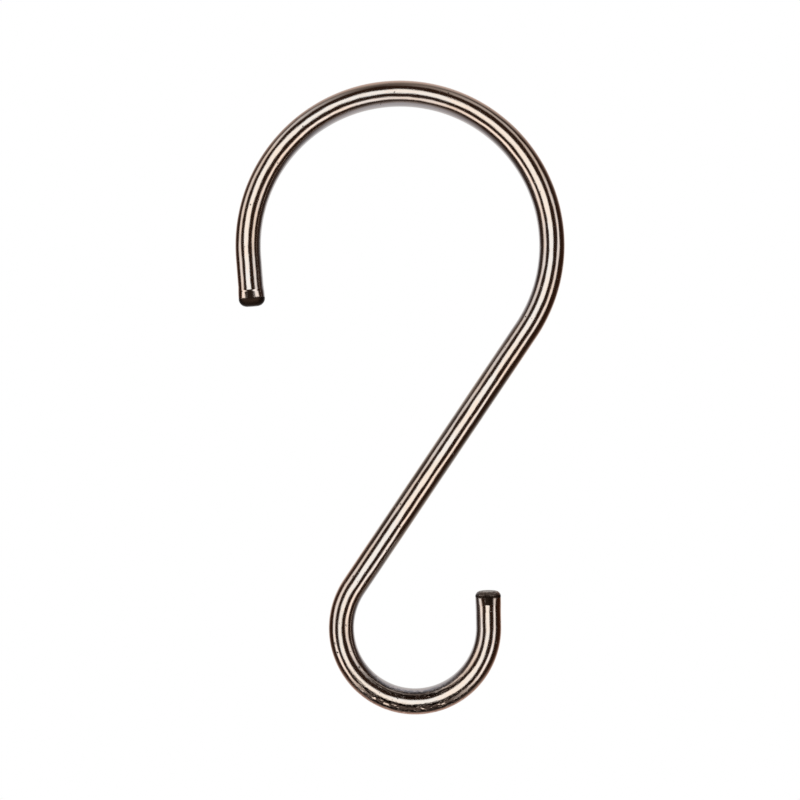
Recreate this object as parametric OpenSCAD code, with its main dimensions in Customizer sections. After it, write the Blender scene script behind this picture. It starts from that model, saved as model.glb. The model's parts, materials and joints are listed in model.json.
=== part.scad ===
// Shower curtain hook: one length of round wire, bent into a large open bend that
// goes over the rod, a straight slanting shank, and a small open bend that turns
// the other way and takes the curtain's eyelet.
//
// All sizes are in millimetres. +Z is up, X lies in the plane of the hook and Y
// runs through the wire. The origin is the rod seat: the underside of the large
// bend's crown, where the hook hangs on its rod.

/* [Wire] */
// Diameter of the wire
wire_d = 3.2; // [2.4:0.1:4.8]

/* [Rod bend] */
// Inside diameter of the large bend
rod_bend_id = 35.2; // [27:0.1:48]
// Angle that the large bend turns past level with its centre, at the tip
rod_wrap = 4.5; // [0:0.5:25]
// Length of the straight tip below the large bend
rod_tip_len = 6.2; // [3.2:0.1:14]

/* [Curtain bend] */
// Inside diameter of the small bend
curtain_bend_id = 15.4; // [9:0.1:24]
// Angle that the small bend turns past level with its centre, at the tip
curtain_wrap = 1; // [0:0.5:25]
// Length of the straight tip above the small bend
curtain_tip_len = 4.5; // [3.2:0.1:10]

/* [Whole hook] */
// Overall height, from the top of the large bend to the bottom of the small one
hook_h = 80; // [70:0.5:120]
// Sideways distance from the large bend's centre to the small bend's
bend_offset = 1.9; // [-6:0.1:10]

/* [Cropped ends] */
// Length of the bevel that the crop has left on the front and back of each end
nip_len = 1.9; // [1.4:0.1:3]
// Depth of the bevel at the very end, on the front and again on the back
nip_depth = 0.6; // [0.1:0.01:0.8]
// Length over which the crop has swelled each end
swell_len = 2.6; // [2:0.1:3]
// Radius of the worn edge on the large bend's tip
rod_tip_round = 1; // [0.3:0.05:1.15]
// Radius of the worn edge on the small bend's tip
curtain_tip_round = 0.7; // [0.3:0.05:1.15]
// Metal that the crop has pushed out on each side of the large bend's tip
rod_tip_swell = 0.06; // [0.02:0.01:0.15]
// Metal that the crop has pushed out on each side of the small bend's tip
curtain_tip_swell = 0.02; // [0.02:0.01:0.15]

/* [Hidden] */

// Facets of the wire's round section and of its bends
wire_fn = 96;
bend_fn = 240;
// Facets of the flat arcs that shape the ends
flat_arc_fn = 720;
// Plain wire left at each end of the swell
swell_inset = 0.1;
// How far each length of wire laps into the next
lap = 0.0001;
// Scale at which lengths of wire are joined
join_scale = 0.0005;
bronze = [0.35, 0.28, 0.24];

wire_r = wire_d / 2;

// Centre-line radii of the two bends
rod_bend_r = rod_bend_id / 2 + wire_r;
curtain_bend_r = curtain_bend_id / 2 + wire_r;

// Centres of the two bends, as [x, z]
rod_bend_at = [0, -rod_bend_id / 2];
hook_bottom = wire_d - hook_h;
curtain_bend_at = [bend_offset, hook_bottom + wire_r + curtain_bend_r];

// The shank is the line that touches both centre-line circles, crossing between them
reach = norm(curtain_bend_at - rod_bend_at);
radii = rod_bend_r + curtain_bend_r;
shank_len = sqrt(reach * reach - radii * radii);
bearing = atan2(curtain_bend_at[1] - rod_bend_at[1], curtain_bend_at[0] - rod_bend_at[0]);

// Angle at which the shank leaves the large bend, seen from its centre. The hook is
// laid out with that angle as zero, so the shank runs straight down from [r, 0]
shank_angle = bearing + acos(radii / reach);
rod_turn = 180 + rod_wrap - shank_angle;
curtain_turn = 180 + curtain_wrap - shank_angle;

// A bend of the wire, counter-clockwise about the origin from +X
module bend(r, turn) {
    rotate_extrude(angle = turn, $fn = bend_fn)
        translate([r, 0])
            circle(r = wire_r, $fn = wire_fn);
}

// The shank: a straight run of the wire along +Z, lapped into the bends at its ends
module shank() {
    translate([0, 0, -lap])
        cylinder(r = wire_r, h = shank_len + 2 * lap, $fn = wire_fn);
}

// Half section of a tip along +Y, lapped into its bend. It swells a little near its
// end, and then its edge is worn round
module tip_section(length, edge_r, swell) {
    swell_at = length - swell_len / 2;
    chord = swell_len / 2 - swell_inset;
    swell_arc_r = (chord * chord + swell * swell) / (2 * swell);
    full_r = wire_r + swell;
    intersection() {
        union() {
            translate([0, -lap])
                square([wire_r, length + lap]);
            intersection() {
                translate([full_r - swell_arc_r, swell_at])
                    circle(r = swell_arc_r, $fn = flat_arc_fn);
                square([full_r, length]);
            }
        }
        union() {
            translate([0, -lap])
                square([full_r, length - edge_r + lap]);
            square([full_r - edge_r, length]);
            translate([full_r - edge_r, length - edge_r])
                circle(r = edge_r, $fn = wire_fn);
        }
    }
}

// What one jaw of the crop takes off the side towards +X: all that lies outside a
// flat bevel, which runs in from the start of the nipped length to its end
module nip() {
    block = 3 * wire_d;
    translate([wire_r, 0, 0])
        rotate([0, -atan(nip_depth / nip_len), 0])
            translate([0, -block / 2, -block / 2])
                cube(block);
}

// A tip along +Z: a straight run that ends in a cropped end, bevelled on the front and
// back, which lie towards +X and -X
module tip(length, edge_r, swell) {
    difference() {
        rotate_extrude($fn = wire_fn) tip_section(length, edge_r, swell);
        for (side = [0, 180])
            rotate(side)
                translate([0, 0, length - nip_len])
                    nip();
    }
}

// Joins lengths of wire that lap into one another. They are joined while they are
// small, so that the lap and any rounding error are too small to leave a step
module joined() {
    scale(1 / join_scale)
        for (i = [0 : $children - 1])
            scale(join_scale) children(i);
}

// A bend with its tip, which carries on straight from where the bend ends
module hooked_end(r, turn, tip_len, edge_r, swell) {
    joined() {
        bend(r, turn);
        rotate(turn)
            translate([r, 0])
                rotate([-90, 90, 0])
                    tip(tip_len, edge_r, swell);
    }
}

// The whole wire: the large bend and its tip, the shank, and the small bend and its
// tip, which are turned half round to start where the shank ends
module hook() {
    color(bronze)
        rotate([90, 0, 0])
            translate(rod_bend_at)
                rotate(shank_angle)
                    joined() {
                        hooked_end(rod_bend_r, rod_turn, rod_tip_len, rod_tip_round, rod_tip_swell);
                        translate([rod_bend_r, 0])
                            rotate([90, 0, 0])
                                shank();
                        translate([radii, -shank_len])
                            rotate(180)
                                hooked_end(curtain_bend_r, curtain_turn, curtain_tip_len,
                                    curtain_tip_round, curtain_tip_swell);
                    }
}

hook();
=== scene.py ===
"""The shower curtain hook, dressed: one length of bronze-plated wire in its studio.

Everything is in metres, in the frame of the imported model: +Z is up, X lies in the
plane of the hook, the front faces -Y, and the origin is the seat on the rod.
"""

import json
import logging
import math
from dataclasses import dataclass, field
from enum import Enum

import bmesh
import bpy
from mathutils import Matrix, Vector


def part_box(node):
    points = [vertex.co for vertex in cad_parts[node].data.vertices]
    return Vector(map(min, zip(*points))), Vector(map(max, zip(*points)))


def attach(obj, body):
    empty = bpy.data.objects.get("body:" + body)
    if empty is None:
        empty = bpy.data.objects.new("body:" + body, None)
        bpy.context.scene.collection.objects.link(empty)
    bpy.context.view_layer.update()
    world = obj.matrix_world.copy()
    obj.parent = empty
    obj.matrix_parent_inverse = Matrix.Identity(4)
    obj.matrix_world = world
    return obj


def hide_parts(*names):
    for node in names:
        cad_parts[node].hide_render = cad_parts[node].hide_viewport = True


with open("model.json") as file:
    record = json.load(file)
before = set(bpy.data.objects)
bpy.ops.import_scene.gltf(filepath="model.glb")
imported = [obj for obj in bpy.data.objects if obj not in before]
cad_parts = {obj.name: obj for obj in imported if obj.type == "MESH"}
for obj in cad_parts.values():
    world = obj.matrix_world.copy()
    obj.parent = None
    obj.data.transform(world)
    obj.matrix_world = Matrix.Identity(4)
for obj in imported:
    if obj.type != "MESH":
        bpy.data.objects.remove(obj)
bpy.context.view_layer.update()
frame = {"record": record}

MM = 0.001
NOISE_MIDDLE = 0.5
LOG = logging.getLogger("hook")

Colour = tuple[float, float, float]
Span = tuple[float, float]
Socket = bpy.types.NodeSocket


class Slot(Enum):
    """The material slots of the record."""

    PLATE = "bronze_plate"


def record_mount(name: str) -> Vector:
    """Place of one of the record's mounts.

    Args:
        name: The mount's name.

    Returns:
        Its position in metres.
    """
    mounts = {m["name"]: m for m in frame["record"]["mounts"]}
    return Vector(mounts[name]["pos_m"])


def outward(angle: float) -> Vector:
    """Unit vector in the plane of the hook, at that angle up from +X."""
    return Vector((math.cos(angle), 0.0, math.sin(angle)))


def onward(angle: float) -> Vector:
    """Unit vector a quarter turn on from outward."""
    return Vector((-math.sin(angle), 0.0, math.cos(angle)))


def eased(share: float) -> float:
    """Smooth step, from 0 where share is 0 or less to 1 where it is 1 or more."""
    share = min(max(share, 0.0), 1.0)
    return share * share * (3.0 - 2.0 * share)


@dataclass(frozen=True)
class Noise:
    """A noise pattern over the straightened wire, which is measured in millimetres.

    The stretch is a factor along the wire: under 1, it draws the pattern out.
    """

    stretch: float
    scale: float
    octaves: float


class NodeTree:
    """Short calls that add and link the shader nodes of one material or world."""

    def __init__(self, tree: bpy.types.NodeTree) -> None:
        """Clears the node tree and keeps it."""
        tree.nodes.clear()
        self.tree = tree

    def add(self, kind: str, **settings: object) -> bpy.types.Node:
        """Adds a node.

        Args:
            kind: The node's type, without the ShaderNode in front.
            **settings: Attributes to set on the node.

        Returns:
            The new node.
        """
        node = self.tree.nodes.new("ShaderNode" + kind)
        for name, value in settings.items():
            setattr(node, name, value)
        return node

    def link(self, source: Socket, target: Socket) -> None:
        """Links source to target."""
        self.tree.links.new(source, target)

    def math(self, operation: str, *inputs: Socket | float) -> Socket:
        """Adds a Math node.

        Args:
            operation: Its operation.
            *inputs: Its inputs in order, each a socket or a number.

        Returns:
            Its output.
        """
        node = self.add("Math", operation=operation)
        for socket, value in zip(node.inputs, inputs):
            if isinstance(value, float):
                socket.default_value = value
            else:
                self.link(value, socket)
        return node.outputs[0]

    def product(self, first: Socket, *factors: Socket | float) -> Socket:
        """Multiplies a value.

        Args:
            first: The value.
            *factors: What it is multiplied by, each a socket or a number.

        Returns:
            The product.
        """
        for factor in factors:
            first = self.math("MULTIPLY", first, factor)
        return first

    def ramp(self, value: Socket, span: Span) -> Socket:
        """Smooth step of a value.

        Args:
            value: The value.
            span: Where the result is 0, and where it is 1.

        Returns:
            The step's output.
        """
        node = self.add("MapRange", interpolation_type="SMOOTHSTEP")
        self.link(value, node.inputs["Value"])
        node.inputs["From Min"].default_value, node.inputs["From Max"].default_value = span
        return node.outputs["Result"]

    def noise(self, place: Socket, pattern: Noise) -> Socket:
        """Noise over a place.

        Args:
            place: The vector that the noise reads.
            pattern: The noise's stretch, scale and octaves.

        Returns:
            The noise's value, about NOISE_MIDDLE on the whole.
        """
        mapping = self.add("Mapping")
        mapping.inputs["Scale"].default_value = (pattern.stretch, 1.0, 1.0)
        self.link(place, mapping.inputs["Vector"])
        node = self.add("TexNoise", noise_dimensions="3D")
        node.inputs["Scale"].default_value = pattern.scale
        node.inputs["Detail"].default_value = pattern.octaves
        self.link(mapping.outputs[0], node.inputs["Vector"])
        return node.outputs[0]

    def centred(self, noise: Socket) -> Socket:
        """Noise moved so that it lies about 0."""
        return self.math("SUBTRACT", noise, NOISE_MIDDLE)

    def blend(self, share: Socket, first: Socket | Colour, second: Socket | Colour) -> Socket:
        """Mixes two colours.

        Args:
            share: Share of the second colour.
            first: A socket, or three numbers.
            second: A socket, or three numbers.

        Returns:
            The mixed colour.
        """
        node = self.add("Mix", data_type="RGBA")
        self.link(share, node.inputs["Factor"])
        sockets = [s for s in node.inputs if s.type == "RGBA"]
        for socket, colour in zip(sockets, (first, second)):
            if isinstance(colour, tuple):
                socket.default_value = (*colour, 1.0)
            else:
                self.link(colour, socket)
        return [s for s in node.outputs if s.type == "RGBA"][0]

    def bump(self, height: Socket, depth: float, under: Socket | None = None) -> Socket:
        """Adds a Bump node.

        Args:
            height: The height.
            depth: Depth in metres of a height of 1.
            under: Normal of the bump below it, if there is one.

        Returns:
            The bumped normal.
        """
        node = self.add("Bump")
        node.inputs["Strength"].default_value = 1.0
        node.inputs["Distance"].default_value = depth
        self.link(height, node.inputs["Height"])
        if under is not None:
            self.link(under, node.inputs["Normal"])
        return node.outputs[0]


@dataclass(frozen=True)
class Marks:
    """Sockets that say how much of each mark is at a point of the wire.

    The first isn't a mark, but the point's place along the wire.
    """

    along: Socket
    lines: Socket
    grains: Socket
    dents: Socket
    pits: Socket
    outside: Socket
    inside: Socket
    pressed: Socket
    below: Socket
    above: Socket
    scuffed: Socket
    cropped: Socket


@dataclass(frozen=True)
class BronzePlate:
    """Dark bronze plating on drawn steel wire, bright from tumbling.

    It reads two attributes: a point's place on the straightened wire, in millimetres
    along it and on the two axes across it, and how dark the crop has left the point,
    partly bared wire and partly painted shade.
    A span says where a mark starts and where it is full. Along the wire, 0 is the
    middle of the shank and the large bend is on the positive side. Across it, 0 is
    the wire's middle, and on the small bend the positive side is the inner one.
    """

    place: str = "wire_place"
    cut: str = "cut_soot_and_shade"

    # Colours
    base: Colour = (0.395, 0.335, 0.29)
    warm: Colour = (0.415, 0.315, 0.245)
    brown: Colour = (0.05, 0.032, 0.023)
    dull: Colour = (0.024, 0.014, 0.010)
    # steel is a painted cool reflection tint on the bends' inner side, partly worn plating;
    # copper is the drawn lines' tint and also a painted warm reflection tint on the outer side
    steel: Colour = (0.42, 0.43, 0.47)
    copper_and_sheen: Colour = (0.56, 0.30, 0.19)
    # soot darkens the pits, and on the cut ends it is partly painted shade
    soot_and_shade: Colour = (0.030, 0.017, 0.011)

    # Marks all over the wire, and how much of its colour each one takes
    patch_noise: Noise = Noise(0.25, 0.5, 3.0)
    patch_span: Span = (0.35, 0.65)
    line_noise: Noise = Noise(0.12, 9.0, 3.0)
    line_span: Span = (0.58, 0.72)
    line_share: float = 0.35
    grain_noise: Noise = Noise(1.0, 9.0, 2.0)
    pit_noise: Noise = Noise(0.8, 2.6, 1.0)
    pit_span: Span = (0.735, 0.80)
    pit_share: float = 0.85
    wave_noise: Noise = Noise(0.35, 0.9, 1.0)

    # Outer and inner sides of the bends: painted warm and cool reflection tints along them,
    # partly rubbed and worn plating
    shank_span: Span = (-24.0, 24.0)
    outside_span: Span = (0.95, 1.3)
    outside_share: float = 0.5
    inside_span: Span = (-1.1, -1.5)
    inside_share: float = 0.5
    small_bend_span: Span = (-25.0, -33.0)
    small_bend_more: float = 0.4

    # Scuffs at the bottom of the small bend, below and above its middle
    scuff_start_span: Span = (-29.0, -35.0)
    scuff_end_span: Span = (-50.0, -43.0)
    scuff_share: float = 0.95
    scuff_raggedness: float = 0.48
    dent_noise: Noise = Noise(0.4, 3.6, 1.0)
    dent_spared_span: Span = (0.64, 0.58)
    below_span: Span = (0.1, -0.12)
    above_span: Span = (0.65, 0.9)
    above_end_span: Span = (1.5, 1.42)
    spared_line: float = 1.13
    spared_line_span: Span = (0.02, 0.07)

    # Soot on the cropped ends: partly bared wire, partly painted shade where their reflections
    # fall dark
    crop_raggedness: float = 0.9
    crop_span: Span = (0.3, 0.7)

    # Roughness of the smoothest metal, and what each mark adds to it
    smooth: float = 0.09
    line_rough: float = 0.08
    pit_rough: float = 0.25
    crop_rough: float = 0.3
    scuff_rough: float = 0.03
    rub_rough: float = 0.2

    # Relief: the small bend's lean, and the depth of each mark
    lean_depth: float = 1.1 * MM
    lean_span: Span = (-23.0, -41.0)
    lean_back: float = -0.4
    lean_back_span: Span = (-52.0, -62.0)
    wave_depth: float = 0.035 * MM
    line_depth: float = 0.0036 * MM
    scratch_depth: float = 0.012 * MM
    dent_depth: float = 0.06 * MM
    grain_depth: float = 0.003 * MM
    pit_depth: float = 0.012 * MM

    def marks(self, nodes: NodeTree, place: Socket) -> Marks:
        """Adds the nodes that find the marks.

        Args:
            nodes: The material's nodes.
            place: The place on the straightened wire.

        Returns:
            The marks.
        """
        apart = nodes.add("SeparateXYZ")
        nodes.link(place, apart.inputs[0])
        along, across = apart.outputs["X"], apart.outputs["Y"]
        lines = nodes.noise(place, self.line_noise)
        grains = nodes.noise(place, self.grain_noise)
        dents = nodes.noise(place, self.dent_noise)

        side = nodes.math("MULTIPLY_ADD", nodes.ramp(along, self.shank_span), 2.0, -1.0)
        outwards = nodes.product(across, side)

        pressed = nodes.product(
            nodes.ramp(along, self.scuff_start_span),
            nodes.ramp(along, self.scuff_end_span),
            nodes.ramp(dents, self.dent_spared_span),
        )
        edge = nodes.math("MULTIPLY_ADD", nodes.centred(lines), self.scuff_raggedness, across)
        below = nodes.product(nodes.ramp(edge, self.below_span), pressed)
        off_line = nodes.math("ABSOLUTE", nodes.math("SUBTRACT", across, self.spared_line))
        above = nodes.product(
            nodes.ramp(edge, self.above_span),
            pressed,
            nodes.ramp(edge, self.above_end_span),
            nodes.ramp(off_line, self.spared_line_span),
        )

        # how dark the cut ends are: partly bared wire, partly painted shade
        cut = nodes.add("Attribute", attribute_name=self.cut).outputs["Fac"]
        cut = nodes.math("MULTIPLY_ADD", nodes.centred(grains), self.crop_raggedness, cut)
        return Marks(
            along=along,
            lines=lines,
            grains=grains,
            dents=dents,
            pits=nodes.ramp(nodes.noise(place, self.pit_noise), self.pit_span),
            # outer and inner sides of the bends, which take painted reflection tints
            outside=nodes.ramp(outwards, self.outside_span),
            inside=nodes.ramp(outwards, self.inside_span),
            pressed=pressed,
            below=below,
            above=above,
            scuffed=nodes.math("MAXIMUM", below, above),
            cropped=nodes.ramp(cut, self.crop_span),
        )

    def colour(self, nodes: NodeTree, place: Socket, marks: Marks) -> Socket:
        """Adds the nodes of the colour.

        Args:
            nodes: The material's nodes.
            place: The place on the straightened wire.
            marks: The marks.

        Returns:
            The colour.
        """
        patches = nodes.ramp(nodes.noise(place, self.patch_noise), self.patch_span)
        lined = nodes.ramp(marks.lines, self.line_span)
        more = nodes.ramp(marks.along, self.small_bend_span)
        rubbed_and_sheen = nodes.math("MULTIPLY_ADD", more, self.small_bend_more, self.outside_share)
        colour = nodes.blend(patches, self.base, self.warm)
        for share, tint in (
            (nodes.product(lined, self.line_share), self.copper_and_sheen),
            (nodes.product(marks.above, self.scuff_share), self.brown),
            (nodes.product(marks.below, self.scuff_share), self.dull),
            # painted reflection: a warm copper tint along the outer side of the bends, partly
            # rubbed plating
            (nodes.product(marks.outside, rubbed_and_sheen), self.copper_and_sheen),
            # painted reflection: a cool steel tint along the inner side of the bends, partly
            # worn plating
            (nodes.product(marks.inside, self.inside_share), self.steel),
            (nodes.product(marks.pits, self.pit_share), self.soot_and_shade),
            # painted shade on the cut ends, partly the crop's bared wire
            (marks.cropped, self.soot_and_shade),
        ):
            colour = nodes.blend(share, colour, tint)
        return colour

    def roughness(self, nodes: NodeTree, marks: Marks) -> Socket:
        """Adds the nodes of the roughness.

        Args:
            nodes: The material's nodes.
            marks: The marks.

        Returns:
            The roughness.
        """
        rough = nodes.math("MULTIPLY_ADD", marks.lines, self.line_rough, self.smooth)
        for share, more in (
            (marks.pits, self.pit_rough),
            (marks.cropped, self.crop_rough),
            (marks.scuffed, self.scuff_rough),
            (nodes.product(marks.outside, marks.pressed), self.rub_rough),
        ):
            rough = nodes.math("MULTIPLY_ADD", share, more, rough)
        return rough

    def normal(self, nodes: NodeTree, place: Socket, marks: Marks) -> Socket:
        """Adds the nodes of the relief, from the widest forms to the finest.

        Args:
            nodes: The material's nodes.
            place: The place on the straightened wire.
            marks: The marks.

        Returns:
            The normal.
        """
        lean = nodes.ramp(marks.along, self.lean_span)
        back = nodes.ramp(marks.along, self.lean_back_span)
        lean = nodes.math("MULTIPLY_ADD", back, self.lean_back, lean)
        normal = nodes.bump(lean, self.lean_depth)
        for height, depth in (
            (nodes.noise(place, self.wave_noise), self.wave_depth),
            (marks.lines, self.line_depth),
            (nodes.product(nodes.centred(marks.lines), marks.scuffed), self.scratch_depth),
            (nodes.product(nodes.centred(marks.dents), marks.scuffed), self.dent_depth),
            (marks.grains, self.grain_depth),
            (nodes.math("SUBTRACT", 1.0, marks.pits), self.pit_depth),
        ):
            normal = nodes.bump(height, depth, normal)
        return normal

    def material(self) -> bpy.types.Material:
        """Builds the material.

        Returns:
            The plating's material.
        """
        made = bpy.data.materials.new("bronze_plate")
        made.use_nodes = True
        nodes = NodeTree(made.node_tree)
        place = nodes.add("Attribute", attribute_name=self.place).outputs["Vector"]
        marks = self.marks(nodes, place)
        surface = nodes.add("BsdfPrincipled")
        surface.inputs["Metallic"].default_value = 1.0
        nodes.link(self.colour(nodes, place, marks), surface.inputs["Base Color"])
        nodes.link(self.roughness(nodes, marks), surface.inputs["Roughness"])
        nodes.link(self.normal(nodes, place, marks), surface.inputs["Normal"])
        nodes.link(surface.outputs[0], nodes.add("OutputMaterial").inputs["Surface"])
        return made


@dataclass(frozen=True)
class Tip:
    """One straight tip: its length, and how the crop and the tumbling left its end.

    The crop has left a bevel on its front and back, which tumbling has worn, and a
    little swelling. Its soot colour, partly the crop's bared wire and partly painted
    shade where the end's reflections fall dark, lies in a band across the tip, given
    by its distances from the end, and in a patch along the tip's middle. The end share
    is how dark it leaves what lies beyond the band.
    """

    length: float
    edge: float
    swell: float
    band_from: float
    band_to: float
    patch_half_width: float
    nip_length: float = 1.9 * MM
    nip_depth: float = 0.6 * MM
    swell_length: float = 2.6 * MM
    swell_inset: float = 0.1 * MM
    ring_step: float = 0.1 * MM
    edge_step: int = 6
    worn_before_nip: float = 0.5 * MM
    worn_from_end: float = 0.6 * MM
    blur_along: float = 0.4 * MM
    blur_across: float = 0.5 * MM
    end_share: float = 0.56

    def radius(self, along: float, wire: float) -> float:
        """Radius of the tip.

        Args:
            along: Distance from where the tip starts.
            wire: Radius of the plain wire.

        Returns:
            The radius there, before the bevels are cut.
        """
        half = self.swell_length / 2
        chord = half - self.swell_inset
        arc = (chord**2 + self.swell**2) / (2 * self.swell)
        from_peak = along - (self.length - half)
        swollen = wire + self.swell - arc + math.sqrt(max(arc**2 - from_peak**2, 0.0))
        into_edge = max(along - (self.length - self.edge), 0.0)
        drop = self.edge - math.sqrt(max(self.edge**2 - into_edge**2, 0.0))
        return min(max(wire, swollen), wire + self.swell - drop)

    def half_depth(self, along: float, wire: float) -> float:
        """Half of the depth that the crop's two bevels leave.

        Args:
            along: Distance from where the tip starts.
            wire: Radius of the plain wire.

        Returns:
            The greatest distance in Y from the middle of the wire.
        """
        into_nip = along - (self.length - self.nip_length)
        return wire - self.nip_depth * into_nip / self.nip_length

    def stations(self) -> list[float]:
        """Distances at which the tip gets a ring of vertices.

        Returns:
            The distances from where the tip starts, the last one its length.
        """
        swell_start = self.length - self.swell_length
        edge_start = self.length - self.edge
        count = math.ceil((edge_start - swell_start) / self.ring_step)
        run = [swell_start + (edge_start - swell_start) * i / count for i in range(count + 1)]
        degrees = range(self.edge_step, 90 + self.edge_step, self.edge_step)
        return run + [edge_start + self.edge * math.sin(math.radians(a)) for a in degrees]

    def bared(self, left: float, aside: float) -> float:
        """How dark the tip is at a point: the crop's bared wire and painted shade.

        Args:
            left: Distance from the point to the tip's end, along the tip.
            aside: Distance from the tip's middle, in the plane of the hook.

        Returns:
            The share, from 0 to 1.
        """
        at_edge = 0.5
        band = at_edge + (self.band_to - left) / self.blur_along
        patch = at_edge + (self.patch_half_width - aside) / self.blur_across
        before_end = at_edge + (left - self.band_from) / self.blur_along
        least = self.end_share if left < self.band_from else 0.0
        return min(max(min(max(band, patch), before_end), least), 1.0)


@dataclass(frozen=True)
class Bend:
    """One bend of the wire, from the shank on, and the straight tip at its end.

    The small bend is laid out as the large one is, and then turned half round: its
    angles are given before that, and its half turn is -1.
    """

    centre: Vector
    radius: float
    start: float
    end: float
    half_turn: float
    tip: Tip

    def tip_start(self) -> Vector:
        """Where the wire's middle passes from the bend into the tip."""
        return self.centre + self.half_turn * self.radius * outward(self.end)

    def tip_along(self) -> Vector:
        """Unit vector along the tip."""
        return self.half_turn * onward(self.end)

    def place_of(self, point: Vector) -> tuple[float, float]:
        """Place of a point on the straightened bend and tip.

        Args:
            point: A point on the bend or on its tip.

        Returns:
            Distance along the wire from the bend's start, and distance across it,
            away from the bend's centre.
        """
        arm = self.half_turn * (point - self.centre)
        past = arm.dot(onward(self.end))
        out = arm.dot(outward(self.end))
        if past > 0.0 and out > 0.0:
            return self.radius * (self.end - self.start) + past, out - self.radius
        before = math.pi / 4
        angle = (math.atan2(arm.z, arm.x) - self.start + before) % (2 * math.pi) - before
        return self.radius * angle, math.hypot(arm.x, arm.z) - self.radius


@dataclass
class HookWire:
    """The whole hook: one length of wire, its two bends, shank and cropped tips.

    The wire and the small bend are given by their radii, the bend's to the middle of
    the wire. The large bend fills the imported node's box.
    """

    sides: int = 96
    wire: float = 1.6 * MM
    small_bend: float = 9.3 * MM
    rod_wrap: float = math.radians(4.5)
    curtain_wrap: float = math.radians(1.0)
    rod_tip: Tip = Tip(
        length=6.2 * MM,
        edge=1.0 * MM,
        swell=0.06 * MM,
        band_from=-1.0 * MM,
        band_to=1.05 * MM,
        patch_half_width=0.4 * MM,
    )
    curtain_tip: Tip = Tip(
        length=4.5 * MM,
        edge=0.7 * MM,
        swell=0.02 * MM,
        band_from=0.42 * MM,
        band_to=0.75 * MM,
        patch_half_width=0.5 * MM,
        nip_length=1.55 * MM,
        nip_depth=0.49 * MM,
    )
    finish: BronzePlate = BronzePlate()
    bend_step: float = math.radians(1.5)
    end_rings: tuple[float, ...] = (0.75, 0.5, 0.25)

    # How much tumbling smooths the bevels, and from what share of the wire's radius
    smoothing: float = 0.5
    smoothed_from: float = 0.3

    # Distances under which vertices are taken to be in one place or on one ring
    same_place: float = 0.0001 * MM
    same_station: float = 0.0005 * MM
    same_ring: float = 0.001 * MM

    def __post_init__(self) -> None:
        """Finds the bends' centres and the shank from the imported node's box."""
        low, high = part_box("hook")
        large_bend = (high.x - low.x) / 2 - self.wire
        radii = large_bend + self.small_bend
        rod_centre = Vector(((low.x + high.x) / 2, 0.0, high.z - self.wire - large_bend))
        curtain_x = record_mount("curtain_seat").x
        curtain_centre = Vector((curtain_x, 0.0, low.z + self.wire + self.small_bend))
        apart = curtain_centre - rod_centre
        start = math.atan2(apart.z, apart.x) + math.acos(radii / apart.length)
        self.large = Bend(
            rod_centre, large_bend, start, math.pi + self.rod_wrap, 1.0, self.rod_tip
        )
        self.small = Bend(
            curtain_centre,
            self.small_bend,
            start,
            math.pi + self.curtain_wrap,
            -1.0,
            self.curtain_tip,
        )
        self.shank_length = math.sqrt(apart.length**2 - radii**2)
        self.shank_top = rod_centre + large_bend * outward(start)
        self.shank_angle = start

    def mesh(self) -> bpy.types.Object:
        """Models the wire from the top of its shank to one end, and then to the other.

        Returns:
            The hook's object, at the origin.
        """
        bpy.ops.object.select_all(action="DESELECT")
        bpy.ops.mesh.primitive_circle_add(
            vertices=self.sides,
            radius=self.wire,
            location=self.shank_top,
            rotation=(0.0, -self.shank_angle, 0.0),
        )
        bpy.ops.object.transform_apply(location=True, rotation=True, scale=True)
        made = bpy.context.active_object
        made.name = made.data.name = "Hook_wire"
        bpy.ops.object.mode_set(mode="EDIT")
        bpy.ops.mesh.select_all(action="SELECT")
        self.shape_end(self.large)
        self.select_ring(made, self.shank_top)
        down = -self.shank_length * onward(self.shank_angle)
        bpy.ops.mesh.extrude_region_move(TRANSFORM_OT_translate={"value": down})
        self.shape_end(self.small)

        bpy.ops.mesh.select_all(action="SELECT")
        bpy.ops.mesh.remove_doubles(threshold=self.same_place)
        bpy.ops.mesh.normals_make_consistent(inside=False)
        bpy.ops.object.mode_set(mode="OBJECT")
        bpy.ops.object.shade_smooth()
        return made

    def select_ring(self, made: bpy.types.Object, centre: Vector) -> None:
        """Selects the ring of vertices about a point of the wire's middle.

        Args:
            made: The object in edit mode.
            centre: The ring's centre.
        """
        shape = bmesh.from_edit_mesh(made.data)
        bpy.ops.mesh.select_all(action="DESELECT")
        for vertex in shape.verts:
            off = abs((vertex.co - centre).length - self.wire)
            vertex.select_set(off < self.same_ring)
        shape.select_flush(True)
        bmesh.update_edit_mesh(made.data)

    def shape_end(self, bend: Bend) -> None:
        """Takes the selected ring round a bend and out to the end of its tip.

        Args:
            bend: The bend and its tip.
        """
        turn = bend.end - bend.start
        steps = math.ceil(turn / self.bend_step)
        bpy.ops.mesh.spin(steps=steps, angle=turn, center=bend.centre, axis=(0.0, 1.0, 0.0))

        start, along, tip = bend.tip_start(), bend.tip_along(), bend.tip
        reached, radius = 0.0, self.wire
        for station in tip.stations():
            wanted = tip.radius(station, self.wire)
            move = (station - reached) * along
            self.extrude_ring(start + station * along, move, wanted / radius)
            reached, radius = station, wanted
        end_radius = radius
        for share in self.end_rings:
            wanted = share * end_radius
            self.extrude_ring(start + reached * along, Vector(), wanted / radius)
            radius = wanted
        bpy.ops.mesh.edge_face_add()

        shape = bmesh.from_edit_mesh(bpy.context.active_object.data)
        for station in tip.stations():
            left = tip.half_depth(station, self.wire)
            if left < self.wire:
                self.thin(shape, bend, station, left / (self.wire + tip.swell))
        self.soften(shape, bend)

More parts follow.
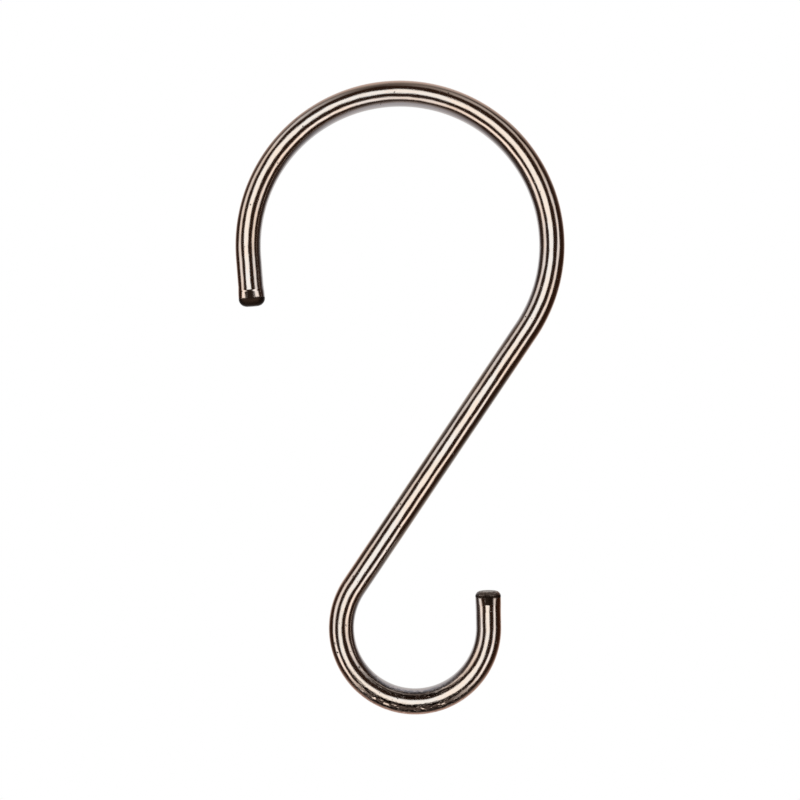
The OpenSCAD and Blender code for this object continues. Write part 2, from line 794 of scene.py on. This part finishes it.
    def extrude_ring(self, centre: Vector, move: Vector, factor: float) -> None:
        """Extrudes the selected ring by move, then resizes it about its new centre.

        Args:
            centre: Centre of the new ring.
            move: How far the ring moves.
            factor: Factor on its radius.
        """
        bpy.ops.mesh.extrude_region_move(TRANSFORM_OT_translate={"value": move})
        bpy.ops.transform.resize(value=(factor, factor, factor), center_override=centre)

    def near_tip(self, arm: Vector, tip: Tip) -> bool:
        """Whether an arm from where a tip starts ends on that tip or close to it."""
        return arm.length < tip.length + 2 * self.wire

    def thin(self, shape: bmesh.types.BMesh, bend: Bend, station: float, share: float) -> None:
        """Presses one ring of a tip thinner from front to back, where the jaws closed.

        Args:
            shape: The mesh in edit mode.
            bend: The tip's bend.
            station: The ring's distance from where the tip starts.
            share: Share of the ring's depth in Y that is left.
        """
        start, along = bend.tip_start(), bend.tip_along()
        bpy.ops.mesh.select_all(action="DESELECT")
        for vertex in shape.verts:
            arm = vertex.co - start
            on_ring = abs(arm.dot(along) - station) < self.same_station
            vertex.select_set(on_ring and self.near_tip(arm, bend.tip))
        bpy.ops.transform.resize(value=(1.0, share, 1.0), center_override=(0.0, 0.0, 0.0))

    def soften(self, shape: bmesh.types.BMesh, bend: Bend) -> None:
        """Smooths the front and back of a tip, where tumbling wore the bevels' edges.

        Args:
            shape: The mesh in edit mode.
            bend: The tip's bend.
        """
        start, along, tip = bend.tip_start(), bend.tip_along(), bend.tip
        first = tip.length - tip.nip_length - tip.worn_before_nip
        last = tip.length - tip.worn_from_end
        bpy.ops.mesh.select_all(action="DESELECT")
        for vertex in shape.verts:
            arm = vertex.co - start
            on_bevel = first < arm.dot(along) < last and self.near_tip(arm, tip)
            vertex.select_set(on_bevel and abs(vertex.co.y) > self.smoothed_from * self.wire)
        shape.select_flush(True)
        bpy.ops.mesh.vertices_smooth(factor=self.smoothing)

    def place_of(self, point: Vector) -> tuple[float, float, float]:
        """Place of a point on the straightened wire.

        Args:
            point: A point on the wire.

        Returns:
            Millimetres along the wire from the middle of the shank, and across it in
            the plane of the hook and in Y.
        """
        half = self.shank_length / 2
        arm = point - self.shank_top
        height = arm.dot(onward(self.shank_angle))
        across = arm.dot(outward(self.shank_angle))
        if -self.shank_length <= height <= 0.0 and abs(across) < 2 * self.wire:
            return (half + height) / MM, across / MM, point.y / MM
        bend = self.large if height > -half else self.small
        along, across = bend.place_of(point)
        along, across = bend.half_turn * (half + along), bend.half_turn * across
        return along / MM, across / MM, point.y / MM

    def cut_soot_and_shade(self, point: Vector) -> float:
        """How dark the cut end is at a point: the crop's bared wire and painted shade.

        Args:
            point: A point on the wire.

        Returns:
            The share, from 0 on the plain wire.
        """
        for bend in (self.large, self.small):
            arm = point - bend.tip_start()
            left = bend.tip.length - arm.dot(bend.tip_along())
            if self.near_tip(arm, bend.tip) and left < bend.tip.nip_length:
                return bend.tip.bared(left, abs(arm.dot(outward(bend.end))))
        return 0.0

    def mark(self, made: bpy.types.Object) -> None:
        """Writes to the mesh what the finish reads at each vertex.

        Args:
            made: The hook's object.
        """
        places = made.data.attributes.new(self.finish.place, "FLOAT_VECTOR", "POINT")
        for vertex, place in zip(made.data.vertices, places.data):
            place.vector = self.place_of(vertex.co)
        shares = made.data.attributes.new(self.finish.cut, "FLOAT", "POINT")
        for vertex, share in zip(made.data.vertices, shares.data):
            share.value = self.cut_soot_and_shade(vertex.co)

    def dress(self, made: bpy.types.Object) -> None:
        """Gives the hook its finish and its body.

        Args:
            made: The hook's object.
        """
        made.data.materials.clear()
        made.data.materials.append(self.finish.material())
        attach(made, "root")
        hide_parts("hook")

    def build(self) -> bpy.types.Object:
        """Models, marks and dresses the hook.

        Returns:
            The hook's object.
        """
        made = self.mesh()
        self.mark(made)
        self.dress(made)
        return made


@dataclass
class Tent:
    """A light tent about the hook, open behind it and hidden from the camera.

    It has a lit panel about the camera, a lit ring about that, dark cloth between
    them, and paler walls towards the back. The walls reach further forward, and are
    brighter, above and below than at the sides.

    Directions are given as they lie on a disc seen from the hook: the middle of the
    disc is straight towards the front, and its rim straight behind.
    """

    reach: float = 8.0
    segments: int = 144
    rings: int = 120
    rim: float = 0.93
    pole: float = 1e-6
    middle: Vector = field(default_factory=lambda: Vector((0.0, 0.0, -37.2 * MM)))
    attribute: str = "glow"

    cloth: Colour = (0.05, 0.025, 0.015)
    panel_lamp: Colour = (2.35, 2.62, 2.85)
    panel_middle: tuple[float, float] = (-0.105, 0.054)
    panel_half: tuple[float, float] = (0.157, 0.174)
    panel_squareness: float = 2.7
    panel_blur: float = 0.15
    ring_lamp: Colour = (2.5, 2.6, 2.75)
    ring_middle: tuple[float, float] = (-0.07, 0.07)
    ring_radius: float = 0.513
    ring_half_width: float = 0.08
    ring_blur: float = 0.035
    ring_levels: tuple[float, ...] = (0.8, 0.38, 0.05, 0.6, 0.8, 1.0, 0.8, 1.0)
    wall: Colour = (0.66, 0.66, 0.69)
    wall_from: float = 0.83
    wall_blur: float = 0.14
    wall_upright_reach: float = 0.11
    wall_upright_share: float = 0.4
    wall_bright_turn: float = 0.7
    wall_bright_share: float = 0.12

    def ring_level(self, turn: float) -> float:
        """Level of the ring in one direction.

        Args:
            turn: Angle round the ring from +X, in radians.

        Returns:
            The level, blended smoothly between the ring's evenly spaced lamps.
        """
        count = len(self.ring_levels)
        place = (turn / (2 * math.pi) * count) % count
        first = int(place)
        share = eased(place - first)
        low, high = self.ring_levels[first], self.ring_levels[(first + 1) % count]
        return low * (1.0 - share) + high * share

    def panel_share(self, across: float, up: float) -> float:
        """Share of the panel in one direction.

        Args:
            across: Place on the disc, towards +X.
            up: Place on the disc, upwards.

        Returns:
            The share, 1 on the panel.
        """
        power = self.panel_squareness
        x = abs((across - self.panel_middle[0]) / self.panel_half[0])
        y = abs((up - self.panel_middle[1]) / self.panel_half[1])
        return self.within((x**power + y**power) ** (1.0 / power), 1.0, self.panel_blur)

    def ring_share(self, across: float, up: float) -> float:
        """Share of the ring in one direction, with its level.

        Args:
            across: Place on the disc, towards +X.
            up: Place on the disc, upwards.

        Returns:
            The share.
        """
        x, y = across - self.ring_middle[0], up - self.ring_middle[1]
        off = abs(math.hypot(x, y) - self.ring_radius)
        level = self.ring_level(math.atan2(y, x))
        return self.within(off, self.ring_half_width, self.ring_blur) * level

    def wall_share(self, across: float, up: float) -> float:
        """Share of the walls in one direction, with their level.

        Args:
            across: Place on the disc, towards +X.
            up: Place on the disc, upwards.

        Returns:
            The share.
        """
        turn = math.atan2(up, across)
        upright = -math.cos(2 * turn)
        start = self.wall_from - self.wall_upright_reach * upright
        share = 1.0 - self.within(math.hypot(across, up), start, self.wall_blur)
        bright = self.wall_bright_share * math.cos(turn - self.wall_bright_turn)
        return share * (1.0 + bright + self.wall_upright_share * upright)

    def glow(self, across: float, up: float) -> Colour:
        """Radiance of the tent in one direction.

        Args:
            across: Place on the disc, towards +X.
            up: Place on the disc, upwards.

        Returns:
            Its colour.
        """
        panel = self.panel_share(across, up)
        ring = self.ring_share(across, up) * (1.0 - panel)
        wall = self.wall_share(across, up)
        dark = [c + (w - c) * wall for c, w in zip(self.cloth, self.wall)]
        lamps = zip(dark, self.panel_lamp, self.ring_lamp)
        return tuple(d + (p - d) * panel + (r - d) * ring for d, p, r in lamps)

    def within(self, distance: float, size: float, blur: float) -> float:
        """1 within size, a half at it and 0 beyond, with an edge blurred to each side."""
        return eased((size + blur - distance) / (2 * blur))

    def disc(self, point: Vector) -> Vector:
        """Where the direction of a point of the tent lies on the disc.

        Args:
            point: A point of the tent.

        Returns:
            Its place, towards +X and upwards.
        """
        ray = (point - self.middle).normalized()
        off_middle = math.sin(math.acos(min(max(-ray.y, -1.0), 1.0)) / 2)
        flat = Vector((ray.x, ray.z))
        if flat.length < self.pole:
            return Vector((0.0, off_middle))
        return flat.normalized() * off_middle

    def build(self) -> bpy.types.Object:
        """Models the tent, open behind, and lights it.

        Returns:
            The tent's object.
        """
        bpy.ops.object.select_all(action="DESELECT")
        bpy.ops.mesh.primitive_uv_sphere_add(
            segments=self.segments,
            ring_count=self.rings,
            radius=self.reach,
            location=self.middle,
            rotation=(math.pi / 2, 0.0, 0.0),
        )
        bpy.ops.object.transform_apply(location=True, rotation=True, scale=True)
        tent = bpy.context.active_object
        tent.name = tent.data.name = "Light_tent"
        bpy.ops.object.mode_set(mode="EDIT")
        shape = bmesh.from_edit_mesh(tent.data)
        bpy.ops.mesh.select_all(action="DESELECT")
        for vertex in shape.verts:
            vertex.select_set(self.disc(vertex.co).length > self.rim)
        bpy.ops.mesh.delete(type="VERT")
        bpy.ops.object.mode_set(mode="OBJECT")
        glows = tent.data.attributes.new(self.attribute, "FLOAT_COLOR", "POINT")
        for vertex, glow in zip(tent.data.vertices, glows.data):
            at = self.disc(vertex.co)
            glow.color = (*self.glow(at.x, at.y), 1.0)
        tent.data.materials.append(self.material())
        tent.visible_camera = False
        tent.visible_shadow = False
        return tent

    def material(self) -> bpy.types.Material:
        """Builds the tent's material.

        Returns:
            A plain emission of the mesh's own colour.
        """
        made = bpy.data.materials.new("tent_cloth")
        made.use_nodes = True
        nodes = NodeTree(made.node_tree)
        glow = nodes.add("Attribute", attribute_name=self.attribute).outputs["Color"]
        emission = nodes.add("Emission")
        nodes.link(glow, emission.inputs["Color"])
        nodes.link(emission.outputs[0], nodes.add("OutputMaterial").inputs["Surface"])
        return made


@dataclass
class Floor:
    """A pale floor below the hook, which runs out into the white surround."""

    drop: float = 100 * MM
    reach: float = 3.0
    sides: int = 128
    pale: Colour = (0.86, 0.86, 0.86)
    roughness: float = 0.9
    white_span: Span = (40 * MM, 120 * MM)
    white_share: float = 0.6

    def build(self) -> bpy.types.Object:
        """Lays the floor.

        Returns:
            The floor's object.
        """
        low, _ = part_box("hook")
        bpy.ops.object.select_all(action="DESELECT")
        bpy.ops.mesh.primitive_circle_add(
            vertices=self.sides,
            radius=self.reach,
            fill_type="NGON",
            location=(0.0, 0.0, low.z - self.drop),
        )
        bpy.ops.object.transform_apply(location=True, rotation=True, scale=True)
        made = bpy.context.active_object
        made.name = made.data.name = "Floor"
        made.data.materials.append(self.material())
        made.visible_glossy = False
        return made

    def material(self) -> bpy.types.Material:
        """Builds the floor's material, pale under the hook and white further out.

        Returns:
            The floor's material.
        """
        made = bpy.data.materials.new("pale_floor")
        made.use_nodes = True
        nodes = NodeTree(made.node_tree)
        flat = nodes.add("Mapping")
        flat.inputs["Scale"].default_value = (1.0, 1.0, 0.0)
        nodes.link(nodes.add("TexCoord").outputs["Object"], flat.inputs["Vector"])
        away = nodes.add("VectorMath", operation="LENGTH")
        nodes.link(flat.outputs[0], away.inputs[0])
        far = nodes.ramp(away.outputs["Value"], self.white_span)
        far = nodes.math("MULTIPLY_ADD", far, 1.0 - self.white_share, self.white_share)
        rays = nodes.add("LightPath").outputs
        seen = nodes.math("MAXIMUM", rays["Is Glossy Ray"], rays["Is Transmission Ray"])
        seen = nodes.math("MAXIMUM", rays["Is Camera Ray"], seen)
        pale = nodes.add("BsdfPrincipled")
        pale.inputs["Base Color"].default_value = (*self.pale, 1.0)
        pale.inputs["Roughness"].default_value = self.roughness
        mix = nodes.add("MixShader")
        nodes.link(nodes.product(far, seen), mix.inputs[0])
        nodes.link(pale.outputs[0], mix.inputs[1])
        nodes.link(nodes.add("Emission").outputs[0], mix.inputs[2])
        nodes.link(mix.outputs[0], nodes.add("OutputMaterial").inputs["Surface"])
        return made


@dataclass
class Studio:
    """The camera and the white surround."""

    camera_distance: float = 140 * MM
    view_width: float = 101.1 * MM
    sensor: float = 36.0
    clip: Span = (10 * MM, 20.0)
    aim: Vector = field(default_factory=lambda: Vector((0.0, 0.0, -37.12 * MM)))

    def camera(self) -> bpy.types.Object:
        """Sets the camera square to the hook, close to it.

        Returns:
            The camera's object.
        """
        lens = bpy.data.cameras.new("Camera")
        lens.sensor_width = self.sensor
        lens.lens = self.sensor * self.camera_distance / self.view_width
        lens.clip_start, lens.clip_end = self.clip
        made = bpy.data.objects.new("Camera", lens)
        bpy.context.scene.collection.objects.link(made)
        made.location = self.aim + Vector((0.0, -self.camera_distance, 0.0))
        made.rotation_euler = (math.pi / 2, 0.0, 0.0)
        bpy.context.scene.camera = made
        return made

    def surround(self) -> None:
        """Sets a plain white world and the plain view."""
        world = bpy.data.worlds.new("Surround")
        world.use_nodes = True
        nodes = NodeTree(world.node_tree)
        white = nodes.add("Background")
        white.inputs["Color"].default_value = (1.0, 1.0, 1.0, 1.0)
        white.inputs["Strength"].default_value = 1.0
        nodes.link(white.outputs[0], nodes.add("OutputWorld").inputs["Surface"])
        bpy.context.scene.world = world
        bpy.context.scene.view_settings.view_transform = "Standard"

    def build(self) -> bpy.types.Object:
        """Sets up the surround and the camera.

        Returns:
            The camera's object.
        """
        self.surround()
        return self.camera()


def main() -> None:
    """Builds the studio, its floor and tent, and the hook, and reports each."""
    logging.basicConfig(level=logging.INFO, format="%(name)s: %(message)s")
    for part in (Studio(), Floor(), Tent(), HookWire()):
        made = part.build()
        LOG.info("%s: %s", made.name, made.type.lower())


if __name__ == "__main__":
    main()
